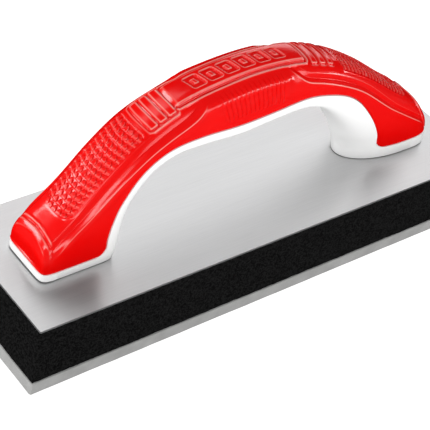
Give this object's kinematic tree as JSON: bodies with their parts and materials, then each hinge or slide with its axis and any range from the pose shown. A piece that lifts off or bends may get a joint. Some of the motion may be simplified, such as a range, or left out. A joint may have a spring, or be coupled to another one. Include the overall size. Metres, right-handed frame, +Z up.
{
  "type": "rubber-faced hand float",
  "caption": "Hand float for grout and masonry work: gum rubber face and foam pad under a metal back plate, with an arched two-material handle screwed on from below.",
  "frame": {"origin": "centre of the rubber working face", "axes": "+X along the length towards the broader handle foot, +Z up through the handle; the float is symmetrical about the XZ plane"},
  "size_m": [0.24, 0.068, 0.1091],
  "materials": {
    "gum_rubber": "matte pale grey",
    "black_foam": "matte fine-celled black foam",
    "aluminium": "brushed",
    "white_plastic": "smooth white",
    "red_overmould": "satin to gloss red",
    "screw_steel": "zinc plated"
  },
  "bodies": {
    "root": {"rubber_face": "gum_rubber", "foam_pad": "black_foam", "back_plate": "aluminium", "handle_core": "white_plastic", "handle_grip": "red_overmould", "screw_front_outer": "screw_steel", "screw_front_inner": "screw_steel", "screw_rear_inner": "screw_steel", "screw_rear_outer": "screw_steel"}
  },
  "joints": []
}
